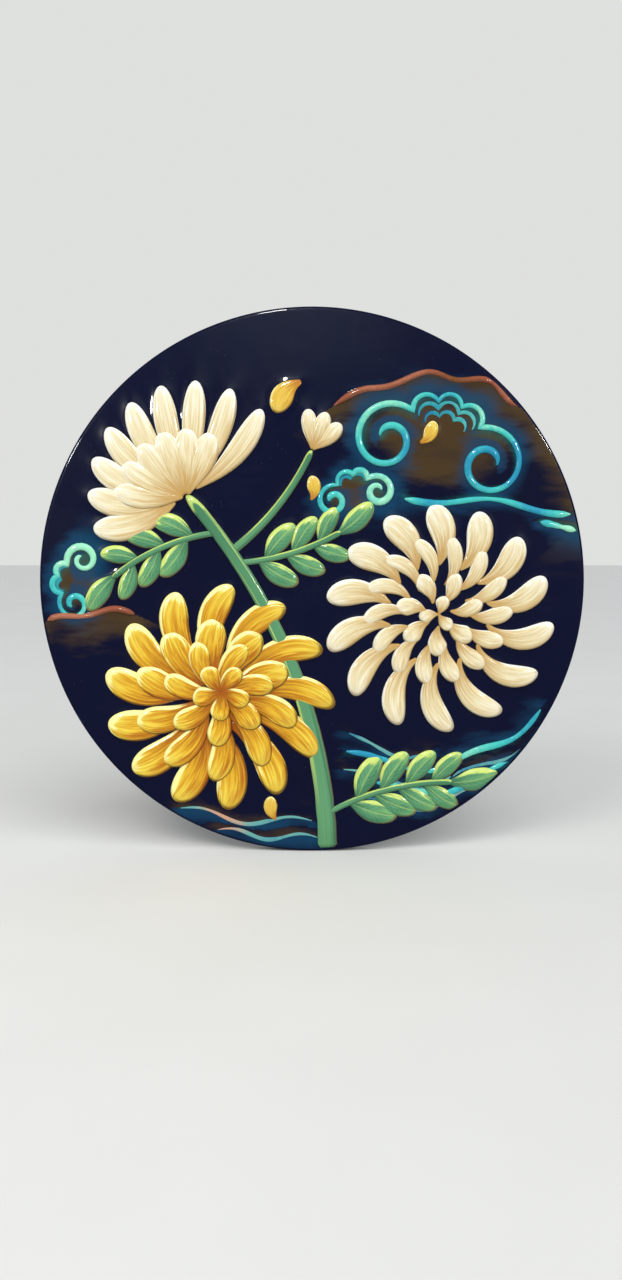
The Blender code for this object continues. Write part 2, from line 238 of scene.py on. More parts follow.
def stroke(foot, heading, length, width, curl, **form):
    values = dict(zip(PLACE_VALUES, (*foot, heading, length, width / 2, curl)))
    return {**values, **PLAIN_FORM, **form}


def hub(one):
    """The centre of a stroke's arc, and the arc's radius, below nought where it turns right."""
    bend = one["length"] / one["curl"]
    heading = one["heading"]
    return one["foot_x"] - bend * math.sin(heading), one["foot_z"] + bend * math.cos(heading), bend


def along_stroke(one, t):
    x, z, bend = hub(one)
    angle = one["heading"] + one["curl"] * t
    return x + bend * math.sin(angle), z - bend * math.cos(angle)


def gap_to_stroke(one, x, z):
    """Rough distance from the stroke's outline, nought inside it, for arrays of points."""
    hub_x, hub_z, bend = hub(one)
    side = 1.0 if bend > 0 else -1.0
    turned = np.arctan2((x - hub_x) * side, (hub_z - z) * side) - one["heading"]
    t = ((turned + math.pi) % (2 * math.pi) - math.pi) / one["curl"]
    aside = np.abs(abs(bend) - np.hypot(x - hub_x, z - hub_z))
    swell = np.sin(QUARTER * np.clip(t / one["widest"], 0, 1)) ** SWELL_POWER
    half = one["half"] * (one["foot_share"] + (1 - one["foot_share"]) * swell)
    past = np.maximum(t - one["widest"], 0) / (1 - one["widest"])
    before = np.maximum(-t, 0) * one["length"] / (one["half"] * one["foot_share"])
    return np.maximum(np.sqrt((aside / half) ** 2 + past**2 + before**2) - 1, 0) * half


# %% [markdown]
# ## Blooms
# A bloom is rings of such strokes round a centre. The numbers below are the same as the CAD solid's: how many
# petals, how far in and out they reach, how wide they are and how much they curl. All petals of a ring curl
# the same way, as in a whirl, and `sway` makes each a little different, as a hand would. The side bloom and
# the bud are fans, whose petals curve upwards.

# %% Petals of the blooms
FOOT_TURN = 0.35
LEAST_CURL = 0.02
CURL_SWAY = 0.20
REACH_SWAY = 0.07
WIDTH_SWAY = 0.09
GOLD_CENTRE = (-0.37, -0.42)
GOLD_LEAN = (0.030, 0.030)
GOLD_RINGS = (
    (13, 0.130, 0.450, 0.112, -1.15, 0.15),
    (10, 0.080, 0.315, 0.108, -1.00, 0.60),
    (7, 0.035, 0.205, 0.094, -0.85, 0.25),
    (5, 0.008, 0.118, 0.070, -0.60, 0.70),
)
CREAM_CENTRE = (0.47, -0.10)
CREAM_RINGS = (
    (14, 0.190, 0.445, 0.094, 1.50, 0.50),
    (14, 0.115, 0.290, 0.064, 1.35, 0.00),
    (7, 0.050, 0.170, 0.066, 1.15, 0.25),
    (3, 0.004, 0.074, 0.050, 0.90, 0.60),
)
SIDE_CENTRE = (-0.46, 0.33)
SIDE_FANS = (
    (9, 44.0, 204.0, 0.055, 0.400, 0.094, 0.95),
    (6, 66.0, 178.0, 0.022, 0.270, 0.090, 0.60),
)
BUD_CENTRE = (0.00, 0.50)
BUD_FAN = (3, 40.0, 96.0, 0.010, 0.140, 0.062, 0.50)
CREAM_SEED, SIDE_SEED, BUD_SEED = 5, 11, 15
TONE_SEED = 9
GOLD_FORM = {"rise": GOLD_RISE, "foot_share": 0.38, "cup": 0.20}
CREAM_FORM = {"rise": CREAM_RISE, "foot_share": 0.20, "cup": 0.10}
SIDE_FORM = {"rise": CREAM_RISE, "cup": 0.10}


def petal(centre, angle, ring, turn, number, seed, **form):
    inner, outer, width = ring
    reach = outer * (1 + REACH_SWAY * sway(number, seed))
    wide = width * (1 + WIDTH_SWAY * sway(number, seed + 1))
    foot = on_face((centre[0] + inner * math.cos(angle), centre[1] + inner * math.sin(angle)))
    heading = angle - turn * FOOT_TURN
    long = (reach - inner) * FACE_RADIUS
    return stroke(foot, heading, long, wide * FACE_RADIUS, turn, tone=sway(number, seed + TONE_SEED), **form)


def ring_of_petals(centre, ring, seed, **form):
    count, inner, outer, width, curl, offset = ring
    made = []
    for number in range(count):
        angle = 2 * math.pi * (number + offset) / count
        turn = curl * (1 + CURL_SWAY * sway(number, seed + 2))
        made.append(petal(centre, angle, (inner, outer, width), turn, number, seed, **form))
    return made


def fan_of_petals(centre, fan, seed, **form):
    count, first, last, inner, outer, width, curl = fan
    made = []
    for number in range(count):
        angle = math.radians(first + (last - first) * number / (count - 1))
        turn = curl * math.cos(angle) or LEAST_CURL
        made.append(petal(centre, angle, (inner, outer, width), turn, number, seed, **form))
    return made


golden_petals, cream_petals, side_petals = [], [], []
for order, ring in enumerate(GOLD_RINGS):
    share = order / (len(GOLD_RINGS) - 1)
    middle = (GOLD_CENTRE[0] + GOLD_LEAN[0] * share, GOLD_CENTRE[1] + GOLD_LEAN[1] * share)
    golden_petals += ring_of_petals(middle, ring, order, level=LAP_STEP * order, **GOLD_FORM)
for order, ring in enumerate(CREAM_RINGS):
    cream_petals += ring_of_petals(CREAM_CENTRE, ring, CREAM_SEED + order, **CREAM_FORM)
for order, fan in enumerate(SIDE_FANS):
    lap = LAP_STEP * order
    side_petals += fan_of_petals(SIDE_CENTRE, fan, SIDE_SEED + order, level=lap, **SIDE_FORM)
bud_petals = fan_of_petals(BUD_CENTRE, BUD_FAN, BUD_SEED, rise=CREAM_RISE)
print("petals:", len(golden_petals), "golden,", len(cream_petals + side_petals + bud_petals), "cream")

# %% [markdown]
# ## Stems, sprigs and falling petals
# A stem is a stroke that keeps its width nearly to the end. A sprig is a thin stalk with leaflets in pairs
# that lean forward and get smaller, and one more at its end. The falling petals are short, plump strokes.

# %% Strokes of the stems, sprigs and falling petals
STEM_WIDEST = 0.94
STEMS = (
    ((0.06, -0.98), 91.5, 1.448, 0.076, 0.046, 0.70),
    ((-0.30, 0.13), 36.7, 0.481, 0.034, 0.026, 0.50),
)
SPRIG_STALK = 0.024
SPRIG_FIRST = 0.22
SPRIG_END = 0.96
SPRIG_TAPER = 0.22
SPRIG_SPREAD = math.radians(52)
SPRIG_STAGGER = 0.03
SPRIG_CURL = 0.45
LEAFLET_SEED, DROP_SEED = 30, 40
LEAFLET_FORM = {"rise": LEAF_RISE, "foot_share": 0.22, "widest": 0.52}
DROP_FORM = {"rise": DROP_RISE, "foot_share": 0.30, "widest": 0.55}
SPRIGS = (
    ((0.06, -0.86), 30.0, 0.50, -0.55, 4, 0.190, 0.088),
    ((-0.27, 0.09), 4.0, 0.40, 0.45, 3, 0.170, 0.080),
    ((-0.36, 0.20), 188.0, 0.42, 0.55, 3, 0.170, 0.080),
)
DROPS = (
    ((-0.05, 0.74), 200.0, 0.140, 0.086, 1.3),
    ((0.00, 0.325), 60.0, 0.086, 0.052, 1.3),
    ((0.40, 0.53), 25.0, 0.090, 0.054, 1.4),
    ((-0.14, -0.88), 130.0, 0.090, 0.054, -1.2),
)


def stalk(foot, heading, length, start_width, end_width, curl):
    size = (length * FACE_RADIUS, end_width * FACE_RADIUS)
    form = {"rise": STEM_RISE, "foot_share": start_width / end_width, "widest": STEM_WIDEST}
    return stroke(on_face(foot), math.radians(heading), *size, curl, **form, tone=length)


def leaflets_of(stem, number, curl, pairs, long, wide):
    made = []
    for pair in range(pairs):
        share = SPRIG_FIRST + (1 - SPRIG_FIRST) * pair / pairs
        size = (1 - SPRIG_TAPER * pair / pairs) * FACE_RADIUS
        for side in (-1, 1):
            aim = stem["heading"] + curl * share + side * SPRIG_SPREAD
            place = along_stroke(stem, share + SPRIG_STAGGER * side)
            made.append((place, aim, long * size, wide * size, -side * SPRIG_CURL))
    last_size = (long * FACE_RADIUS, wide * FACE_RADIUS)
    made.append((along_stroke(stem, SPRIG_END), stem["heading"] + curl, *last_size, SPRIG_CURL))
    seed = LEAFLET_SEED + number
    return [stroke(*one, **LEAFLET_FORM, tone=sway(order, seed)) for order, one in enumerate(made)]


stem_strokes = [stalk(*stem) for stem in STEMS]
leaflet_strokes = []
for number, (foot, heading, length, curl, pairs, long, wide) in enumerate(SPRIGS):
    stem_strokes.append(stalk(foot, heading, length, SPRIG_STALK, SPRIG_STALK, curl))
    leaflet_strokes += leaflets_of(stem_strokes[-1], number, curl, pairs, long, wide)
drop_strokes = []
for number, (foot, heading, length, width, curl) in enumerate(DROPS):
    size = (length * FACE_RADIUS, width * FACE_RADIUS)
    tone = sway(number, DROP_SEED)
    aim = math.radians(heading)
    drop_strokes.append(stroke(on_face(foot), aim, *size, curl, **DROP_FORM, tone=tone))
print(len(stem_strokes), "stems,", len(leaflet_strokes), "leaflets,", len(drop_strokes), "falling petals")

# %% [markdown]
# ## A pad to press into shape
# Geometry Nodes will set one pad on every stroke's foot and bend it to the rule above. The pad is a closed
# cushion of faces that knows only where each point belongs: how far along, how far across, and whether it
# lies underneath. Points crowd together near the edges, where the dab of paste curves most.

# %% Make the pad
PAD_ROWS = 30
PAD_COLUMNS = 17
HEEL_STOPS = [-0.8, -0.45]


def make_pad():
    body, tip = PAD_ROWS // 2, PAD_ROWS // 2 - 3
    stops = HEEL_STOPS + [step / body for step in range(body)] + [1 + step / tip for step in range(tip)]
    columns = [math.sin(QUARTER * (2 * column / (PAD_COLUMNS - 1) - 1)) for column in range(PAD_COLUMNS)]
    places = [(stop, column, 0.0) for stop in stops for column in columns]
    rows, wide = len(stops), PAD_COLUMNS
    heel, toe = len(places), len(places) + 1
    places += [(-1.0, 0.0, 0.0), (2.0, 0.0, 0.0)]
    left_side = [row * wide for row in range(rows)]
    right_side = [corner + wide - 1 for corner in reversed(left_side)]
    edge = [heel] + left_side + [toe] + right_side
    under = {corner: len(places) + number for number, corner in enumerate(edge)}
    places += [(places[corner][0], places[corner][1], 1.0) for corner in edge]
    faces = []
    for row in range(rows - 1):
        for column in range(wide - 1):
            a = row * wide + column
            faces.append((a, a + wide, a + wide + 1, a + 1))
            if column == 0:
                faces.append((under[a], under[a + wide - 1], under[a + 2 * wide - 1], under[a + wide]))
    for column in range(wide - 1):
        faces.append((heel, column, column + 1))
        faces.append((toe, (rows - 1) * wide + column + 1, (rows - 1) * wide + column))
    first, last = 0, (rows - 1) * wide
    faces.append((under[heel], under[first + wide - 1], under[first]))
    faces.append((under[toe], under[last], under[last + wide - 1]))
    for number, corner in enumerate(edge):
        after = edge[(number + 1) % len(edge)]
        faces.append((corner, under[corner], under[after], after))
    mesh = bpy.data.meshes.new("pad")
    mesh.from_pydata(places, [], faces)
    for number, name in enumerate(("along", "across", "under")):
        values = mesh.attributes.new(name, "FLOAT", "POINT")
        values.data.foreach_set("value", [place[number] for place in places])
    return bpy.data.objects.new("pad", mesh)


pad = make_pad()
print("pad:", len(pad.data.vertices), "points and", len(pad.data.polygons), "faces")

# %% [markdown]
# ## The stroke tree
# The tree sets the pad on each point of a small mesh, makes it real, and moves every point with the rule:
# along the arc, out to its side, and up by the dome. A slow noise adds the unevenness of hand-laid paste. At
# the rim the relief runs out, because there the board was rubbed flat. The tree also keeps how far each point
# faces the painter's light, up and to the left, since petals are painted pale on that side.


# %% Build the stroke tree
def build_stroke_tree():
    tree, given, result = new_tree(
        "Raised strokes",
        "GeometryNodeTree",
        [
            ("Feet", "NodeSocketGeometry", None),
            ("Pad", "NodeSocketObject", None),
            ("Face Depth", "NodeSocketFloat", BOARD_THICKNESS),
            ("Face Radius", "NodeSocketFloat", FACE_RADIUS),
            ("Rim Clearance", "NodeSocketFloat", RIM_CLEARANCE),
            ("Rim Fade", "NodeSocketFloat", RIM_FADE),
            ("Sink", "NodeSocketFloat", 0.0010),
            ("Unevenness", "NodeSocketFloat", 0.00030),
            ("Light Turn", "NodeSocketFloat", math.radians(120)),
            ("Material", "NodeSocketMaterial", None),
        ],
        [("Strokes", "NodeSocketGeometry")],
    )

    def read(name):
        node = add(tree, "GeometryNodeInputNamedAttribute", {"data_type": "FLOAT"}, Name=name)
        return Number(node.outputs["Attribute"])

    shape = add(tree, "GeometryNodeObjectInfo", Object=given["Pad"]).outputs["Geometry"]
    set_out = add(tree, "GeometryNodeInstanceOnPoints", Points=given["Feet"], Instance=shape)
    real = add(tree, "GeometryNodeRealizeInstances", Geometry=set_out.outputs["Instances"]).outputs[0]

    one = {name: read(name) for name in STROKE_VALUES}
    u, v, under = read("along"), read("across"), read("under")
    body = least(most(u, 0.0), 1.0)
    tip, back = most(u - 1.0, 0.0) * QUARTER, most(-u, 0.0) * QUARTER
    past, before = sine(tip), sine(back)
    ends = cosine(tip) * cosine(back)
    swell = sine(body * QUARTER) ** SWELL_POWER
    half = one["half"] * ((1.0 - one["foot_share"]) * swell + one["foot_share"])
    forward = (1.0 - one["widest"]) * past + body * one["widest"]
    t = forward - before * (one["half"] * one["foot_share"] / one["length"])

    bend = one["length"] / one["curl"]
    angle = one["curl"] * t + one["heading"]
    reach = bend - v * (half * ends)
    x = reach * sine(angle) + (one["foot_x"] - bend * sine(one["heading"]))
    z = bend * cosine(one["heading"]) + one["foot_z"] - reach * cosine(angle)

    away = root(x * x + z * z)
    rim = given["Face Radius"] - given["Rim Clearance"]
    pull = least(rim / most(away, 0.001), 1.0)
    x, z = x * pull, z * pull
    near_rim = least((given["Face Radius"] - away * pull) / given["Rim Fade"], 1.0)
    fade = near_rim * (2.0 - near_rim)

    across = v * ends
    out = least(root(across * across + (past * past + before * before)), 1.0)
    dome = root(most(1.0 - out**DOME_POWER, 0.0))
    hollow = one["cup"] * most(1.0 - out, 0.0) ** 1.5
    grow = body * (1 - FOOT_RISE) + FOOT_RISE
    lift = one["level"] * least(dome * 3.0, 1.0)
    height = one["rise"] * grow * (dome - hollow * swell) + lift

    off_light = given["Light Turn"] - angle
    lit = across * sine(off_light) + past * cosine(off_light)

    flat = add(tree, "ShaderNodeCombineXYZ", X=x, Y=0.0, Z=z).outputs[0]
    rough = (noise_in(flat, 120.0) - 0.62) * given["Unevenness"] * dome
    top = (height + rough) * fade * (1.0 - under)
    depth = under * given["Sink"] - (given["Face Depth"] + top)
    place = add(tree, "ShaderNodeCombineXYZ", X=x, Y=depth, Z=z).outputs[0]

    def keep(shape, name, value, kind="FLOAT", domain="POINT"):
        settings = {"data_type": kind, "domain": domain}
        inputs = {"Geometry": shape, "Name": name, "Value": value}
        return add(tree, "GeometryNodeStoreNamedAttribute", settings, **inputs).outputs["Geometry"]

    made = keep(real, "out", out)
    made = keep(made, "forward", t)
    made = keep(made, "lit", lit)
    page = add(tree, "ShaderNodeCombineXYZ", X=v * 0.5 + 0.5, Y=t).outputs[0]
    made = keep(made, "UVMap", page, "FLOAT2", "CORNER")
    made = add(tree, "GeometryNodeSetPosition", Geometry=made, Position=place).outputs["Geometry"]
    made = add(tree, "GeometryNodeSetShadeSmooth", Geometry=made).outputs["Geometry"]
    made = add(tree, "GeometryNodeSetMaterial", Geometry=made, Material=given["Material"])
    put(result["Strokes"], made.outputs["Geometry"])
    return tree


stroke_tree = build_stroke_tree()
print("stroke tree:", len(stroke_tree.nodes), "nodes")

# %% [markdown]
# ## From tree to plain mesh
# A live modifier would be slow to carry along, and the plate is made of plain pieces anyway. So each tree is
# run once, its result becomes a mesh of its own, and the modifier goes.


# %% Run a tree once
def run_tree(source, tree, name, inputs):
    bpy.context.scene.collection.objects.link(source)
    modifier = source.modifiers.new("tree", "NODES")
    modifier.node_group = tree
    for item in tree.interface.items_tree:
        if item.in_out == "INPUT" and item.name in inputs:
            modifier[item.identifier] = inputs[item.name]
    bpy.context.view_layer.update()
    graph = bpy.context.evaluated_depsgraph_get()
    mesh = bpy.data.meshes.new_from_object(source.evaluated_get(graph), depsgraph=graph)
    mesh.name = name
    source.modifiers.clear()
    bpy.data.objects.remove(source)
    piece = bpy.data.objects.new(name, mesh)
    bpy.context.scene.collection.objects.link(piece)
    triangles = sum(len(face.vertices) - 2 for face in mesh.polygons)
    print(name, "-", triangles, "triangles")
    return piece


def press_strokes(name, strokes, material):
    """One piece from a list of strokes: a point for each foot, with the stroke's values as attributes."""
    feet = bpy.data.meshes.new(name + "_feet")
    feet.from_pydata([(one["foot_x"], 0.0, one["foot_z"]) for one in strokes], [], [])
    for value in STROKE_VALUES:
        attribute = feet.attributes.new(value, "FLOAT", "POINT")
        attribute.data.foreach_set("value", [one[value] for one in strokes])
    source = bpy.data.objects.new(name + "_source", feet)
    return run_tree(source, stroke_tree, name, {"Pad": pad, "Material": material})


# %% [markdown]
# ## Shared surface effects
# Three effects come back in most of the finishes, so each is a shader group with its own dials.
# Brush marks run along a stroke. The gloss has the faint waviness of poured lacquer, a little dust and
# duller, rubbed patches. The painted fold shades a stroke from foot to tip, with a pale edge towards the
# painter's light and a dark line on the other side.


# %% Helpers for colour and masks
def attribute_in(tree, name):
    settings = {"attribute_type": "GEOMETRY", "attribute_name": name}
    return Number(add(tree, "ShaderNodeAttribute", settings).outputs["Fac"])


def ramp(value, first, last):
    """Nought to one, eased, as the value goes from first to last."""
    settings = {"interpolation_type": "SMOOTHSTEP"}
    node = add(value.tree, "ShaderNodeMapRange", settings, Value=value, From_Min=first, From_Max=last)
    return Number(node.outputs["Result"])


def blend_colours(share, first, last):
    node = add(share.tree, "ShaderNodeMix", {"data_type": "RGBA"})
    for number, value in ((0, share), (6, first), (7, last)):
        put(node.inputs[number], value)
    return node.outputs[2]


def floats(*names):
    return [(name, "NodeSocketFloat", 0.0) for name in names]


# %% Brush marks
def build_brush_group():
    inputs = floats("Along", "Across", "Tone", "Marks")
    outputs = [("Streak", "NodeSocketFloat"), ("Patch", "NodeSocketFloat")]
    tree, given, result = new_tree("Brush marks", "ShaderNodeTree", inputs, outputs)
    x, y, z = given["Across"] * given["Marks"], given["Along"] * 2.2, given["Tone"] * 9.0
    place = add(tree, "ShaderNodeCombineXYZ", X=x, Y=y, Z=z).outputs[0]
    put(result["Streak"], ramp(noise_in(place, 1.0, 4.0, 0.6), 0.32, 0.68))
    put(result["Patch"], ramp(noise_in(place, 0.34, 1.0), 0.35, 0.65))
    return tree


brush_group = build_brush_group()
print("group:", brush_group.name)


# %% Lacquer gloss
def build_gloss_group():
    outputs = [(name, "NodeSocketFloat") for name in ("Roughness", "Dust", "Height")]
    inputs = floats("Smooth", "Dull")
    tree, given, result = new_tree("Lacquer gloss", "ShaderNodeTree", inputs, outputs)
    place = add(tree, "ShaderNodeTexCoord").outputs["Object"]
    wave, peel = noise_in(place, 38.0), noise_in(place, 420.0, 1.0)
    worn = ramp(noise_in(place, 14.0, 6.0, 0.7), 0.45, 0.75)
    specks = named(add(tree, "ShaderNodeTexVoronoi", {"feature": "F1"}, Vector=place, Scale=260.0).outputs)
    near = math_node("LESS_THAN", specks["Distance"], 0.085)
    dust = near * math_node("GREATER_THAN", noise_in(place, 60.0), 0.60)
    rough = worn * (given["Dull"] - given["Smooth"]) + given["Smooth"]
    put(result["Roughness"], dust * 0.3 + rough)
    put(result["Dust"], dust)
    put(result["Height"], peel * 0.10 + wave)
    return tree


gloss_group = build_gloss_group()
print("group:", gloss_group.name)


# %% Painted fold
COLOUR_NAMES = ("Foot", "Body", "Tip", "Edge", "Shade", "Line")
FOLD_VALUES = ("Along", "Out", "Lit", "Streak", "Patch")
FOLD_DIALS = ("Foot Reach", "Edge Start", "Softness", "Shade Depth", "Line Depth")


def build_fold_group():
    inputs = [(name, "NodeSocketColor", None) for name in COLOUR_NAMES] + floats(*FOLD_VALUES, *FOLD_DIALS)
    outputs = [("Colour", "NodeSocketColor")]
    tree, given, result = new_tree("Painted fold", "ShaderNodeTree", inputs, outputs)
    uneven = given["Streak"] - 0.5
    along = uneven * 0.34 + given["Along"]
    lit = uneven * 0.55 + given["Lit"]
    colour = blend_colours(ramp(along, 0.0, given["Foot Reach"]), given["Foot"], given["Body"])
    colour = blend_colours(ramp(along, 0.55, 1.0), colour, given["Tip"])
    near_tip = ramp(given["Along"], 0.6, 1.0) * -0.6 + 1.0
    depth = (given["Patch"] * 0.5 + 0.5) * near_tip * given["Shade Depth"]
    shade = ramp(-lit, 0.0, given["Softness"]) * depth
    thin = (1.0 - given["Streak"]) * 0.30
    colour = blend_colours(most(shade, thin), colour, given["Shade"])
    start = uneven * -0.16 + given["Edge Start"]
    border = ramp(given["Out"], start, start + 0.12)
    edge = border * ramp(lit, 0.0, 0.45) * ramp(given["Along"], 0.06, 0.34)
    colour = blend_colours(edge, colour, given["Edge"])
    line = ramp(given["Out"], 0.80, 0.93) * ramp(-lit, -0.1, 0.4)
    put(result["Colour"], blend_colours(line * given["Line Depth"], colour, given["Line"]))
    return tree


fold_group = build_fold_group()
print("group:", fold_group.name)

# %% [markdown]
# ## Painted strokes under clear gloss
# All strokes share one recipe with their own colours: the fold group paints the stroke, brush marks show in
# the colour and very slightly in the surface, and a full coat of clear lacquer lies over it. The colours are
# cream to ochre, yellow to amber, and leaf green with a yellow edge.


# %% Helpers for glossy paint
def group_in(tree, group, **inputs):
    return named(add(tree, "ShaderNodeGroup", {"node_tree": group}, **inputs).outputs)


def shade_of(*parts):
    """A colour given from 0 to 255, as the linear light that a shader works in."""
    parts = [part / 255 for part in parts]
    return tuple(((part + 0.055) / 1.055) ** 2.4 if part > 0.04 else part / 12.92 for part in parts) + (1.0,)


def glossy_paint(name, coat_roughness=0.12):
    material = bpy.data.materials.new(name)
    material.use_nodes = True
    shader = material.node_tree.nodes["Principled BSDF"]
    shader.inputs["Specular IOR Level"].default_value = 0.08
    shader.inputs["Coat Weight"].default_value = 1.0
    shader.inputs["Coat Roughness"].default_value = coat_roughness
    shader.inputs["Coat IOR"].default_value = 1.5
    return material, material.node_tree, shader


def finish_paint(shader, colour, roughness, height, strength, distance=0.0004):
    bump = add(shader.id_data, "ShaderNodeBump", Height=height, Strength=strength, Distance=distance)
    put(shader.inputs["Base Color"], colour)
    put(shader.inputs["Roughness"], roughness)
    put(shader.inputs["Normal"], bump.outputs["Normal"])


def leaf_veins(along, across):
    """A midrib, and side veins that lean forward."""
    aside = math_node("ABSOLUTE", across)
    rib = 1.0 - ramp(aside, 0.03, 0.10)
    side = ramp(sine((aside * -0.30 + along) * 52.0), 0.80, 1.0) * (1.0 - ramp(aside, 0.45, 0.80))
    return most(rib, side * 0.5)


# %% Make the stroke paints
def colours(*parts):
    return {name: shade_of(*part) for name, part in zip(COLOUR_NAMES, parts)}


PLAIN_DIALS = {
    "Foot_Reach": 0.45,
    "Edge_Start": 0.74,
    "Softness": 0.7,
    "Shade_Depth": 0.8,
    "Line_Depth": 0.8,
}


def stroke_paint(name, picked, marks=7.0, lit_gain=1.0, veined=False, **dials):
    material, tree, shader = glossy_paint(name)
    along, across, out = (attribute_in(tree, value) for value in ("forward", "across", "out"))
    lit, tone = attribute_in(tree, "lit") * lit_gain, attribute_in(tree, "tone")
    brush = group_in(tree, brush_group, Along=along, Across=across, Tone=tone, Marks=marks)
    reads = {"Along": along, "Out": out, "Lit": lit, **brush}
    colour = group_in(tree, fold_group, **picked, **reads, **{**PLAIN_DIALS, **dials})["Colour"]
    gloss = group_in(tree, gloss_group, Smooth=0.30, Dull=0.48)
    height = brush["Streak"] * 0.6 + gloss["Height"] * 0.5
    if veined:
        veins = leaf_veins(along, across)
        colour = blend_colours(veins * 0.30, colour, picked["Edge"])
        height = veins * -0.8 + height
    finish_paint(shader, colour, gloss["Roughness"], height, 0.35)
    return material


CREAM = ((184, 142, 74), (226, 213, 172), (235, 229, 204), (246, 243, 226), (204, 174, 118), (112, 80, 40))
GOLD = ((152, 78, 14), (222, 172, 40), (232, 208, 76), (246, 238, 156), (170, 96, 18), (84, 44, 12))
STEM = ((100, 156, 108), (92, 150, 106), (70, 126, 90), (186, 208, 112), (52, 98, 74), (112, 76, 44))
LEAF = ((52, 108, 78), (94, 154, 108), (116, 172, 108), (200, 218, 116), (58, 118, 88), (112, 80, 46))
FALLING = ((180, 112, 30), (220, 184, 72), (226, 198, 94), (240, 222, 144), (194, 138, 44), (104, 68, 20))
cream_dials = {"Edge_Start": 0.78, "Foot_Reach": 0.68, "Shade_Depth": 1.0, "Line_Depth": 0.45}
cream_paint = stroke_paint("cream_paint", colours(*CREAM), **cream_dials)
golden_dials = {"Edge_Start": 0.66, "Foot_Reach": 0.74, "Shade_Depth": 1.0}
golden_paint = stroke_paint("golden_paint", colours(*GOLD), **golden_dials)
stem_paint = stroke_paint("stem_paint", colours(*STEM), marks=5.0, lit_gain=2.0, Edge_Start=0.50)
leaf_paint = stroke_paint("leaf_paint", colours(*LEAF), veined=True, Edge_Start=0.56, Softness=0.2)
falling_paint = stroke_paint("falling_paint", colours(*FALLING), Edge_Start=0.80)
paints = (cream_paint, golden_paint, stem_paint, leaf_paint, falling_paint)
print("paints:", [paint.name for paint in paints])

# %% [markdown]
# ## Press the strokes
# Each group of strokes becomes one piece, so that a bloom can be repainted or lifted off as a whole.

# %% Make the blooms, sprigs and falling petals
cream_bloom = press_strokes("cream_bloom", cream_petals, cream_paint)
golden_bloom = press_strokes("golden_bloom", golden_petals, golden_paint)
side_bloom = press_strokes("side_bloom", side_petals, cream_paint)
bud = press_strokes("bud", bud_petals, cream_paint)
stems = press_strokes("stems", stem_strokes, stem_paint)
leaflets = press_strokes("leaflets", leaflet_strokes, leaf_paint)
falling_petals = press_strokes("falling_petals", drop_strokes, falling_paint)

# %% [markdown]
# ## Paths of the clouds, ridges and waves
# The clouds are the old scroll pattern: a winding scroll on each side and round lobes between them. Tails,
# ridges and waves are bulged lines with a few soft waves. The clouds and ridges are raised like piping. The
# smaller arches inside the clouds and the waves at the foot of the picture are only painted.

# %% Lay out the paths
SCROLL_SPREAD = 0.64
SCROLL_RADIUS = 0.46
SCROLL_START = math.radians(62)
SCROLL_SHRINK = 0.76
CROWN_LIFT = 0.24
LOBE_LIFT = 0.42
CLOUDS = (
    ((0.46, 0.495), 0.295, -14.0, 3, 1.30),
    ((0.16, 0.335), 0.130, 12.0, 2, 1.30),
    ((-0.865, 0.02), 0.130, 78.0, 2, 1.25),
)
CLOUD_TAILS = (
    ((0.98, 0.27), (0.34, 0.325), -0.012, 1.5, 0.014),
    ((1.00, 0.20), (0.84, 0.24), -0.010, 0.5, 0.008),
    ((0.13, -0.62), (0.86, -0.46), -0.130, 2.0, 0.018),
    ((0.24, -0.74), (0.74, -0.66), -0.070, 1.5, 0.014),
)
RIDGES = (
    ((0.08, 0.66), (0.98, 0.30), 0.275, 4.5, 0.014, -1),
    ((-1.02, -0.15), (-0.66, -0.10), 0.030, 1.5, 0.012, -1),
)
WAVES = (
    ((0.12, -0.69), (0.84, -0.54), -0.120, 2.0, 0.020),
    ((0.17, -0.80), (0.66, -0.74), -0.060, 1.5, 0.018),
    ((0.14, -0.55), (0.44, -0.62), -0.040, 1.0, 0.014),
    ((-0.50, -0.84), (0.00, -0.89), -0.020, 1.5, 0.018),
    ((-0.36, -0.925), (0.02, -0.955), -0.010, 1.5, 0.014),
)
ARCH_SHARES = (0.80, 0.58)
ARCH_DROP = 0.55
SMALL_CLOUD = 0.20
PATH_STEP = 0.0022


def arc(centre, radius, first, last, shrink=0.0):
    steps = max(6, round(abs(last - first) * radius * (1 - shrink / 2) * FACE_RADIUS / PATH_STEP))
    angles = np.linspace(first, last, steps + 1)
    reach = radius * (1 - shrink * np.linspace(0, 1, steps + 1))
    return np.stack([centre[0] + reach * np.cos(angles), centre[1] + reach * np.sin(angles)], axis=1)


def scallop(start, end, lift):
    """An arc from start to end that rises to its left by this share of their distance."""
    dx, dz = end[0] - start[0], end[1] - start[1]
    chord, along = math.hypot(dx, dz), math.atan2(dz, dx)
    rise = lift * chord
    radius = (chord**2 / 4 + rise**2) / (2 * rise)
    drop = radius - rise
    middle = ((start[0] + end[0]) / 2, (start[1] + end[1]) / 2)
    centre = (middle[0] + drop * math.sin(along), middle[1] - drop * math.cos(along))
    half_turn = math.acos(max(-1.0, min(1.0, drop / radius)))
    return arc(centre, radius, along + QUARTER + half_turn, along + QUARTER - half_turn)


def crown_between(first, last, lobes):
    """Round lobes in a row along an arch."""
    arch = scallop(first, last, CROWN_LIFT)
    cusps = [arch[round(number * (len(arch) - 1) / lobes)] for number in range(lobes + 1)]
    return [scallop(start, end, LOBE_LIFT)[1:] for start, end in zip(cusps, cusps[1:])]


def placed(path, centre, tilt):
    c, s = math.cos(math.radians(tilt)), math.sin(math.radians(tilt))
    return path @ np.array([[c, s], [-s, c]]) + centre


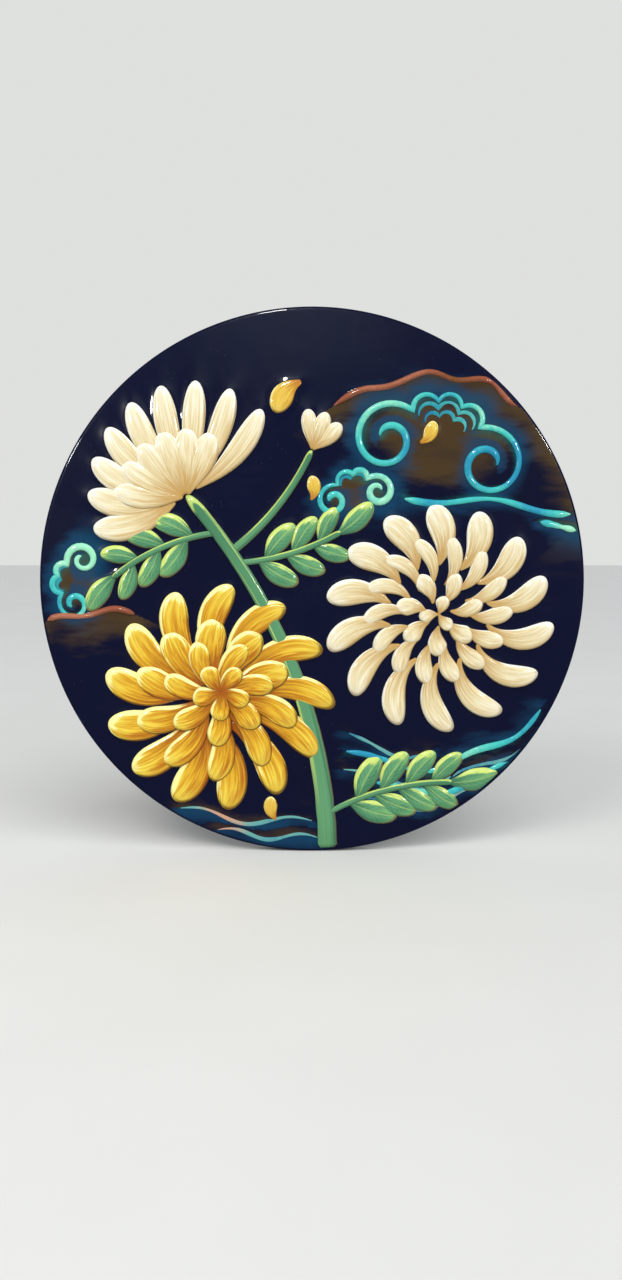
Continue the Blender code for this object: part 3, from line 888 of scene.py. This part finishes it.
def cloud_path(centre, size, tilt, lobes, turns):
    end = SCROLL_START + turns * 2 * math.pi
    left = arc((-SCROLL_SPREAD * size, 0.0), SCROLL_RADIUS * size, SCROLL_START, end, SCROLL_SHRINK)
    right = left * (-1, 1)
    path = np.concatenate([left[::-1]] + crown_between(left[0], right[0], lobes) + [right[1:]])
    return placed(path, centre, tilt)


def inner_arch(centre, size, tilt, lobes, share):
    """A smaller crown, painted inside a cloud."""
    half = (SCROLL_SPREAD - SCROLL_RADIUS * math.cos(SCROLL_START)) * size * share
    height = SCROLL_RADIUS * math.sin(SCROLL_START) * size * (1 - ARCH_DROP * (1 - share))
    first, last = np.array((-half, height)), np.array((half, height))
    return placed(np.concatenate([[first]] + crown_between(first, last, lobes)), centre, tilt)


def wavy_path(start, end, bulge, waves, depth):
    start, run = np.array(start), np.array(end) - start
    length = math.hypot(*run)
    t = np.linspace(0, 1, max(8, round(length * 1.15 * FACE_RADIUS / PATH_STEP)) + 1)[:, None]
    aside = bulge * 4 * t * (1 - t) + depth * np.sin(2 * math.pi * waves * t)
    return start + run * t + aside * np.array([-run[1], run[0]]) / length


scroll_paths = [cloud_path(*cloud) for cloud in CLOUDS]
tail_paths = [wavy_path(*tail) for tail in CLOUD_TAILS]
ridge_paths = [wavy_path(*ridge[:5]) for ridge in RIDGES]
wave_paths = [wavy_path(*wave) for wave in WAVES]
arch_paths = []
for centre, size, tilt, lobes, turns in CLOUDS:
    for share in ARCH_SHARES[:1] if size < SMALL_CLOUD else ARCH_SHARES:
        arch_paths.append(inner_arch(centre, size, tilt, lobes, share))
print("raised:", len(scroll_paths + tail_paths + ridge_paths), "painted:", len(arch_paths + wave_paths))

# %% [markdown]
# ## Slopes and fillets
# The face isn't quite flat. Below a ridge the ground falls away in a short slope, and where lacquer pooled at
# the feet of the strokes it left soft fillets, which catch the light as small white glints. Both are worked
# out here for any place on the face, so that the board and the painted lines on it agree. The raised lines
# start from the level face, as on the solid, and dip into a slope where they meet a ridge.

# %% Height of the ground at a place
RIDGE_RISE = 0.0020
RIDGE_SLOPE = 0.0085
SLOPE_FADE = 0.016
SLOPE_END = 0.025
FILLET_RISE = 0.0008
FILLET_REACH = 0.0022
FILLET_MARGIN = 0.01
POOLING = 0.45
POOLS_ACROSS, POOLS_UP = 260, 230
ALL_STROKES = golden_petals + cream_petals + side_petals + bud_petals
ALL_STROKES = ALL_STROKES + stem_strokes + leaflet_strokes + drop_strokes


def from_paths(paths, x, z):
    """Distance from the nearest of some paths, and whether it lies to the path's left."""
    nearest, left = np.full(len(x), 1.0), np.zeros(len(x), bool)
    row = np.arange(len(x))
    for path in paths:
        ends = path[::2] * FACE_RADIUS
        start, run = ends[:-1], ends[1:] - ends[:-1]
        across, up = np.subtract.outer(x, start[:, 0]), np.subtract.outer(z, start[:, 1])
        t = np.clip((across * run[:, 0] + up * run[:, 1]) / (run**2).sum(axis=1), 0, 1)
        away = np.hypot(across - t * run[:, 0], up - t * run[:, 1])
        pick = away.argmin(axis=1)
        side = (up * run[:, 0] - across * run[:, 1])[row, pick] > 0
        closer = away[row, pick] < nearest
        nearest, left = np.where(closer, away[row, pick], nearest), np.where(closer, side, left)
    return nearest, left


def eased(share):
    share = np.clip(share, 0, 1)
    return share * share * (3 - 2 * share)


def level_at(x, z):
    return np.zeros(len(x))


def slope_at(x, z):
    """The ground beside the ridges. It runs out at a ridge's ends and at the rim."""
    slope = np.zeros(len(x))
    for ridge, path in zip(RIDGES, ridge_paths):
        away, left = from_paths([path], x, z)
        here = RIDGE_RISE * np.maximum(0, 1 - away / RIDGE_SLOPE) ** 2
        for end in path[[0, -1]] * FACE_RADIUS:
            here = here * eased(np.hypot(x - end[0], z - end[1]) / SLOPE_END)
        slope = np.maximum(slope, np.where(left == (ridge[5] > 0), here, 0))
    return slope * eased((FACE_RADIUS - np.hypot(x, z)) / SLOPE_FADE)


def swelling_at(x, z):
    gap = np.full(len(x), 1.0)
    for one in ALL_STROKES:
        reach = one["length"] + 2 * one["half"] + FILLET_MARGIN
        close = np.hypot(x - one["foot_x"], z - one["foot_z"]) < reach
        gap[close] = np.minimum(gap[close], gap_to_stroke(one, x[close], z[close]))
    fade = np.clip((FACE_RADIUS - np.hypot(x, z)) / RIM_FADE, 0, 1)
    drained = 0.5 + 0.5 * np.sin(POOLS_ACROSS * x + 1) * np.sin(POOLS_UP * z + 2)
    pooled = FILLET_RISE * (1 - POOLING * drained)
    return (slope_at(x, z) + pooled * np.exp(-gap / FILLET_REACH)) * fade


middle_height = swelling_at(np.zeros(1), np.zeros(1))[0]
print("ground at the middle of the face:", round(1000 * middle_height, 3), "mm above the board")

# %% [markdown]
# ## The piping tree
# A raised line is a path with a flat oval swept along it. Curve to Mesh does this and takes the oval's scale
# from the curve's radius, so a line can swell and end in a point like a brush stroke. The lower half of the
# oval sinks into the board.

# %% Build the piping tree
LINE_WIDTH = 0.0046
LINE_RISE = 0.0014
FULLEST, THINNEST = 1.18, 0.25
RIM_TAPER = 0.004


def build_piping_tree():
    inputs = [
        ("Paths", "NodeSocketGeometry", None),
        ("Width", "NodeSocketFloat", LINE_WIDTH),
        ("Rise", "NodeSocketFloat", LINE_RISE),
        ("Sides", "NodeSocketInt", 14),
        ("Material", "NodeSocketMaterial", None),
    ]
    outputs = [("Piping", "NodeSocketGeometry")]
    tree, given, result = new_tree("Piping", "GeometryNodeTree", inputs, outputs)
    outward = {"Curve": given["Paths"], "Normal": (0.0, -1.0, 0.0)}
    upright = add(tree, "GeometryNodeSetCurveNormal", {"mode": "FREE"}, **outward).outputs["Curve"]
    ring = add(tree, "GeometryNodeCurvePrimitiveCircle", Resolution=given["Sides"], Radius=1.0)
    oval = add(tree, "ShaderNodeCombineXYZ", X=given["Rise"], Y=given["Width"] * 0.5, Z=1.0).outputs[0]
    profile = add(tree, "GeometryNodeTransform", Geometry=ring.outputs["Curve"], Scale=oval).outputs[0]
    girth = add(tree, "GeometryNodeInputRadius").outputs[0]
    sweep = {"Curve": upright, "Profile_Curve": profile, "Scale": girth, "Fill_Caps": True}
    made = add(tree, "GeometryNodeCurveToMesh", **sweep).outputs["Mesh"]
    made = add(tree, "GeometryNodeRealizeInstances", Geometry=made).outputs[0]
    made = add(tree, "GeometryNodeSetShadeSmooth", Geometry=made).outputs["Geometry"]
    made = add(tree, "GeometryNodeSetMaterial", Geometry=made, Material=given["Material"])
    put(result["Piping"], made.outputs["Geometry"])
    return tree


def inside_rim(path):
    """The stretch of a path that lies on the face, in metres."""
    path = path * FACE_RADIUS
    return path[np.hypot(path[:, 0], path[:, 1]) < FACE_RADIUS - RIM_CLEARANCE]


def girths(path, seed, taper, loose):
    """How thick the line is at each point: uneven along the way, and drawn out at its ends."""
    t = np.linspace(0, 1, len(path))
    uneven = 1 + loose * (0.19 * np.sin(t * 9 + seed) + 0.10 * np.sin(t * 23 + 2 * seed) - 0.07)
    ends = np.minimum(1, np.minimum(t, 1 - t) / taper)
    near_rim = (FACE_RADIUS - np.hypot(path[:, 0], path[:, 1])) / RIM_TAPER
    drawn_out = THINNEST + (1 - THINNEST) * np.sin(QUARTER * ends)
    return np.clip(uneven, 0, FULLEST) * drawn_out * np.clip(near_rim, THINNEST, 1)


def pipe(name, paths, material, width, rise, taper=0.06, loose=1.0, ground=level_at):
    curve = bpy.data.curves.new(name + "_paths", "CURVE")
    curve.dimensions = "3D"
    for seed, path in enumerate(paths):
        path = inside_rim(path)
        spline = curve.splines.new("POLY")
        spline.points.add(len(path) - 1)
        depth, weight = -BOARD_THICKNESS - ground(path[:, 0], path[:, 1]), np.ones(len(path))
        places = np.stack([path[:, 0], depth, path[:, 1], weight], axis=1)
        spline.points.foreach_set("co", places.ravel())
        spline.points.foreach_set("radius", girths(path, seed, taper, loose))
    source = bpy.data.objects.new(name + "_source", curve)
    return run_tree(source, piping_tree, name, {"Width": width, "Rise": rise, "Material": material})


piping_tree = build_piping_tree()
print("piping tree:", len(piping_tree.nodes), "nodes")

# %% [markdown]
# ## Line paints
# The cloud lines drift from blue through turquoise to pale mint, because the painter reloaded and mixed the
# brush as the line went on. A slow noise over the face does the same. The ridges are russet with browner
# stretches, and the waves go from blue to a warm tan.


# %% Make the line paints
def line_paint(name, picked, scale, roughness=0.30):
    material, tree, shader = glossy_paint(name)
    place = add(tree, "ShaderNodeTexCoord").outputs["Object"]
    bristle = noise_in(place, 330.0, 3.0, 0.65)
    drift = (bristle - 0.5) * 0.16 + noise_in(place, scale, 1.5)
    first, second, third = (shade_of(*part) for part in picked)
    colour = blend_colours(ramp(drift, 0.36, 0.50), first, second)
    colour = blend_colours(ramp(drift, 0.50, 0.64), colour, third)
    gloss = group_in(tree, gloss_group, Smooth=roughness, Dull=roughness + 0.18)
    finish_paint(shader, colour, gloss["Roughness"], bristle * 0.6 + gloss["Height"], 0.3)
    return material


cloud_paint = line_paint("cloud_paint", ((36, 140, 172), (66, 186, 178), (150, 220, 184)), 16.0)
arch_paint = line_paint("arch_paint", ((24, 92, 136), (40, 142, 156), (92, 184, 168)), 18.0)
ridge_paint = line_paint("ridge_paint", ((104, 68, 28), (142, 78, 54), (166, 104, 78)), 14.0)
wave_paint = line_paint("wave_paint", ((34, 116, 150), (96, 160, 156), (196, 150, 122)), 11.0)

# %% [markdown]
# ## Pipe the lines
# The same tree makes the raised clouds and ridges and the flat painted lines. They differ in width and rise,
# in how evenly they are drawn and how they end. The painted ones follow the fillets and slopes.

# %% Make the clouds, ridges and painted lines
PAINT_RISE = 0.00014
PAINTED_WIDTH = 0.0030
RIDGE_LINE_RISE = 0.0025
scroll_clouds = pipe("scroll_clouds", scroll_paths, cloud_paint, LINE_WIDTH, LINE_RISE)
cloud_tails = pipe("cloud_tails", tail_paths, cloud_paint, LINE_WIDTH, LINE_RISE)
ridges = pipe("ridges", ridge_paths, ridge_paint, LINE_WIDTH, RIDGE_LINE_RISE, loose=0.35)
flat = {"width": PAINTED_WIDTH, "rise": PAINT_RISE, "ground": swelling_at}
painted_arches = pipe("painted_arches", arch_paths, arch_paint, taper=0.30, **flat)
painted_waves = pipe("painted_waves", wave_paths, wave_paint, taper=0.25, **flat)

# %% [markdown]
# ## The board
# The board is a turned disc: a flat face, a softly rounded front edge, a plain side and a chamfered, flat
# back. Its front needs small faces all over, because it carries the soft fillets and the painted washes. A
# square grid pressed into a circle gives faces of one size, without a crowded centre.

# %% Press a grid into a disc
GRID_SIDE = 286


def disc_places():
    """A square grid pressed into the unit disc, ring by ring, and its border in order."""
    line = np.linspace(-1, 1, GRID_SIDE)
    a, b = np.meshgrid(line, line, indexing="ij")
    wide = np.abs(a) > np.abs(b)
    eighth = math.pi / 4
    beside = eighth * b / np.where(wide, a, 1)
    above = QUARTER - eighth * a / np.where(wide | (b == 0), 1, b)
    angle = np.where(wide, beside, above)
    reach = np.where(wide, a, b)
    x, z = reach * np.cos(angle), reach * np.sin(angle)
    last = GRID_SIDE - 1
    border = [(0, n) for n in range(last)] + [(n, last) for n in range(last)]
    border += [(last, last - n) for n in range(last)] + [(last - n, 0) for n in range(last)]
    return x.ravel(), z.ravel(), [i * GRID_SIDE + j for i, j in border]


unit_x, unit_z, border = disc_places()
face_x, face_z = unit_x * FACE_RADIUS, unit_z * FACE_RADIUS
swelling = swelling_at(face_x, face_z)
print("grid:", GRID_SIDE, "by", GRID_SIDE, "- highest fillet or slope", round(1000 * swelling.max(), 2), "mm")

# %% [markdown]
# ## Painted washes
# Round the clouds the ground isn't plain: washes of teal, blue and warm brown were rubbed over the navy
# before the last clear coats. They run beside the lines, strong next to them and soft away from them, and
# the brown also fills the clouds' bodies. So each is a mask by distance from the paths, kept on the face's
# points for the material to read. Each rule below names some lines, the strength to their left and to their
# right, how far the wash reaches in metres, and how sharply it ends.

# %% Work out the washes
CLOUD_BODY = (0.95, 0.58, 0.12)
BODY_STRENGTH = 1.3
WASH_RULES = {
    "teal": (("scrolls", 0.25, 1.0, 0.0050, 1.0), ("tails", 0.15, 0.7, 0.0060, 1.0)),
    "blue": (
        ("scrolls", 1.0, 0.0, 0.012, 1.5),
        ("arches", 0.9, 0.0, 0.0045, 1.0),
        ("tails", 0.8, 0.0, 0.012, 1.5),
        ("waves", 0.0, 0.8, 0.012, 1.5),
    ),
    "brown": (("ridges", 0.0, 1.0, 0.022, 1.0), ("waves", 0.55, 0.0, 0.010, 1.0)),
}
LINES = {
    "scrolls": scroll_paths,
    "arches": arch_paths,
    "tails": tail_paths,
    "ridges": ridge_paths,
    "waves": wave_paths,
}


def wash_by(rules):
    """The strongest wash at each point of the face."""
    layers = []
    for lines, to_left, to_right, reach, sharpness in rules:
        away, left = line_distances[lines]
        layers.append(np.where(left, to_left, to_right) * np.exp(-((away / reach) ** sharpness)))
    return np.maximum.reduce(layers)


line_distances = {name: from_paths(paths, face_x, face_z) for name, paths in LINES.items()}
washes = {name: wash_by(rules) for name, rules in WASH_RULES.items()}
for (centre_x, centre_z), size, tilt, lobes, turns in CLOUDS:
    c, s = math.cos(math.radians(tilt)), math.sin(math.radians(tilt))
    half_wide, half_high, raised = (size * share for share in CLOUD_BODY)
    across = ((unit_x - centre_x) * c + (unit_z - centre_z) * s) / half_wide
    up = ((unit_z - centre_z) * c - (unit_x - centre_x) * s - raised) / half_high
    body = np.clip(BODY_STRENGTH - (across**2 + up**2), 0, 1)
    washes["brown"] = np.maximum(washes["brown"], body)
print("wash shares:", {name: round(float(wash.mean()), 3) for name, wash in washes.items()})

# %% [markdown]
# ## Navy lacquer
# The ground is near-black navy, so most of what one sees is what it mirrors. A plain dark gloss would look
# like plastic, so the washes lie in it with their brush marks, a little dust sits on it, and its mirror is
# very slightly wavy.

# %% Make the navy lacquer
NAVY_TONES = ((7, 8, 34), (10, 13, 42))
WASH_PAINTS = (("brown", 0.95, (70, 53, 28)), ("blue", 0.80, (16, 62, 94)), ("teal", 0.70, (24, 96, 92)))
DUST_PAINT = (150, 150, 140)
DUST_STRENGTH = 0.10


def navy_lacquer():
    material, tree, shader = glossy_paint("navy_lacquer_ground", coat_roughness=0.03)
    place = add(tree, "ShaderNodeTexCoord").outputs["Object"]
    turn, stretch = (0.0, 0.5, 0.0), (26.0, 26.0, 90.0)
    stretched = add(tree, "ShaderNodeMapping", Vector=place, Rotation=turn, Scale=stretch).outputs[0]
    rubbed, cloudy = noise_in(stretched, 1.0, 5.0, 0.62), noise_in(place, 17.0)
    uneven = (ramp(rubbed * 0.5 + cloudy * 0.5, 0.36, 0.62) - 0.5) * 0.50
    colour = blend_colours(cloudy, *(shade_of(*tone) for tone in NAVY_TONES))
    for name, strength, paint in WASH_PAINTS:
        share = ramp(attribute_in(tree, name) + uneven, 0.22, 0.95)
        colour = blend_colours(share * strength, colour, shade_of(*paint))
    gloss = group_in(tree, gloss_group, Smooth=0.22, Dull=0.36)
    colour = blend_colours(gloss["Dust"] * DUST_STRENGTH, colour, shade_of(*DUST_PAINT))
    finish_paint(shader, colour, gloss["Roughness"], gloss["Height"], 0.10, 0.0003)
    return material


# %% Build the board
EDGE_STEPS = 7
CHAMFER_STEPS = 3


def edge_rows():
    """Radius and depth of each ring from the face's edge to the back."""
    rows = []
    for step in range(1, EDGE_STEPS + 1):
        angle = QUARTER * step / EDGE_STEPS
        depth = BOARD_THICKNESS - FRONT_EDGE_RADIUS * (1 - math.cos(angle))
        rows.append((FACE_RADIUS + FRONT_EDGE_RADIUS * math.sin(angle), depth))
    rows.append((PLATE_RADIUS, BOARD_THICKNESS / 2))
    for step in range(CHAMFER_STEPS + 1):
        angle = QUARTER * step / CHAMFER_STEPS
        depth = BACK_EDGE_CHAMFER * (1 - math.sin(angle))
        rows.append((PLATE_RADIUS - BACK_EDGE_CHAMFER * (1 - math.cos(angle)), depth))
    return rows


def build_board(material):
    count = len(face_x)
    places = [np.stack([face_x, -BOARD_THICKNESS - swelling, face_z], axis=1)]
    n = np.arange(count).reshape(GRID_SIDE, GRID_SIDE)
    faces = np.stack([n[:-1, :-1], n[1:, :-1], n[1:, 1:], n[:-1, 1:]], axis=-1).reshape(-1, 4).tolist()
    angles = np.arctan2(unit_z[border], unit_x[border])
    row, total = list(border), count
    for radius, depth in edge_rows():
        out = np.full(len(angles), -depth)
        places.append(np.stack([radius * np.cos(angles), out, radius * np.sin(angles)], axis=1))
        after = list(range(total, total + len(border)))
        total += len(border)
        corners = zip(row, row[1:] + row[:1], after, after[1:] + after[:1])
        faces += [[a, b, d, c] for a, b, c, d in corners]
        row = after
    faces.append(row)
    mesh = bpy.data.meshes.new("lacquered_board")
    mesh.from_pydata(np.concatenate(places).tolist(), [], faces)
    for name, wash in washes.items():
        values = mesh.attributes.new(name, "FLOAT", "POINT")
        values.data.foreach_set("value", np.concatenate([wash, np.zeros(total - count)]))
    mesh.polygons.foreach_set("use_smooth", [True] * (len(faces) - 1) + [False])
    mesh.materials.append(material)
    return bpy.data.objects.new("lacquered_board", mesh)


board = build_board(navy_lacquer())
bpy.context.scene.collection.objects.link(board)
print("board:", sum(len(face.vertices) - 2 for face in board.data.polygons), "triangles")

# %% [markdown]
# ## Fix every piece to the plate
# Nothing moves on a wall plate, so every piece rides on the one body, and together they stand for the one
# solid. The pieces are listed by the finish they belong to.

# %% Fix the pieces
FINISHES = {
    "navy_lacquer": (board,),
    "cream_lacquer": (cream_bloom, side_bloom, bud),
    "golden_lacquer": (golden_bloom, falling_petals),
    "green_lacquer": (stems, leaflets),
    "turquoise_lacquer": (scroll_clouds, cloud_tails, painted_arches, painted_waves),
    "russet_lacquer": (ridges,),
}
for finish, pieces in FINISHES.items():
    for piece in pieces:
        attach(piece, "root")
        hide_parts("lacquer_plate")
bpy.data.objects.remove(pad)
print("pieces:", sum(len(pieces) for pieces in FINISHES.values()))

# %% [markdown]
# ## Floor and light
# The plate stands on its edge on a plain pale floor. Glossy dark lacquer mirrors its lights, so the large
# lamp and the soft sun that light the paint are hidden from reflections. A few small lamps do the
# opposite: they add no light to the paint and only glint in the clear coat, along the rounded feet of the
# petals. They stand just far enough aside that the flat face doesn't mirror them.

# %% Set the floor and the lights
FLOOR_HALF = 6.0
FLOOR_TONES = ((0.70, 0.70, 0.68, 1.0), (0.75, 0.75, 0.73, 1.0))
SUN_SPREAD = math.radians(60)
GLINT_SIZE = 0.07
GLINT_COLOUR = (1.0, 1.0, 0.97)
GLINTS = (
    ("glint_left", (-0.64, -1.0, 0.30), 2.6),
    ("glint_right", (0.64, -1.0, 0.34), 2.6),
    ("glint_top", (-0.10, -1.0, 0.66), 3.0),
)


def pale_floor():
    material = bpy.data.materials.new("pale_floor")
    material.use_nodes = True
    tree = material.node_tree
    shader = tree.nodes["Principled BSDF"]
    place = add(tree, "ShaderNodeTexCoord").outputs["Object"]
    put(shader.inputs["Base Color"], blend_colours(noise_in(place, 9.0, 4.0), *FLOOR_TONES))
    shader.inputs["Roughness"].default_value = 0.8
    return material


def flat_sheet(name, half, depth):
    corners = [(-half, -half, depth), (half, -half, depth), (half, half, depth), (-half, half, depth)]
    mesh = bpy.data.meshes.new(name)
    mesh.from_pydata(corners, [], [(0, 1, 2, 3)])
    made = bpy.data.objects.new(name, mesh)
    bpy.context.scene.collection.objects.link(made)
    return made


def hang_light(light, place, power, colour, glint):
    """Sets a light at a place, turned to the middle of the plate."""
    light.energy = power
    light.color = colour
    made = bpy.data.objects.new(light.name, light)
    made.location = place
    across = math.hypot(place[0], place[1])
    made.rotation_euler = (math.atan2(across, place[2]), 0.0, math.atan2(place[0], -place[1]))
    made.visible_glossy = glint
    made.visible_diffuse = not glint
    bpy.context.scene.collection.objects.link(made)


def lamp(name, place, width, height, power, colour, glint=False):
    light = bpy.data.lights.new(name, "AREA")
    light.shape = "RECTANGLE"
    light.size, light.size_y = width, height
    hang_light(light, place, power, colour, glint)


def soft_sun(name, place, power, colour):
    light = bpy.data.lights.new(name, "SUN")
    light.angle = SUN_SPREAD
    hang_light(light, place, power, colour, False)


floor = flat_sheet("floor", FLOOR_HALF, low.z)
floor.data.materials.append(pale_floor())
floor.visible_glossy = False
lamp("key_light", (-0.8, -1.3, 1.3), width=0.9, height=0.7, power=15, colour=(1.0, 0.98, 0.93))
soft_sun("fill_light", (0.4, -0.8, 0.8), power=2.2, colour=(0.96, 0.98, 1.0))
for name, place, power in GLINTS:
    lamp(name, place, GLINT_SIZE, GLINT_SIZE, power, GLINT_COLOUR, glint=True)

# %% [markdown]
# ## The room
# The room gives three things: an even glow on the paint, a plain pale backdrop, and a dim surround with
# one soft, upright sheen for the lacquer to mirror. Light Path tells the three apart.

# %% Set the room's light
ROOM_GLOW = (0.43, 0.44, 0.45, 1.0)
BACKDROP = (0.74, 0.75, 0.73, 1.0)
SURROUND = (0.07, 0.09, 0.12, 1.0)
SHEEN = (0.26, 0.32, 0.32, 1.0)


def room_light():
    world = bpy.data.worlds.new("room")
    bpy.context.scene.world = world
    world.use_nodes = True
    tree = world.node_tree
    tree.nodes.clear()
    direction = add(tree, "ShaderNodeTexCoord").outputs["Generated"]
    parts = named(add(tree, "ShaderNodeSeparateXYZ", Vector=direction).outputs)
    beside = 1.0 - ramp(math_node("ABSOLUTE", parts["X"] + 0.02), 0.02, 0.16)
    sheen = beside * ramp(parts["Z"], 0.10, 0.22) * ramp(-parts["Y"], 0.2, 0.9)
    paths = named(add(tree, "ShaderNodeLightPath").outputs)
    colour = blend_colours(sheen, SURROUND, SHEEN)
    colour = blend_colours(paths["Is Diffuse Ray"], colour, ROOM_GLOW)
    colour = blend_colours(paths["Is Camera Ray"], colour, BACKDROP)
    background = add(tree, "ShaderNodeBackground", Color=colour, Strength=1.0)
    add(tree, "ShaderNodeOutputWorld", Surface=background.outputs[0])
    return world


room = room_light()
print("room:", len(room.node_tree.nodes), "nodes")
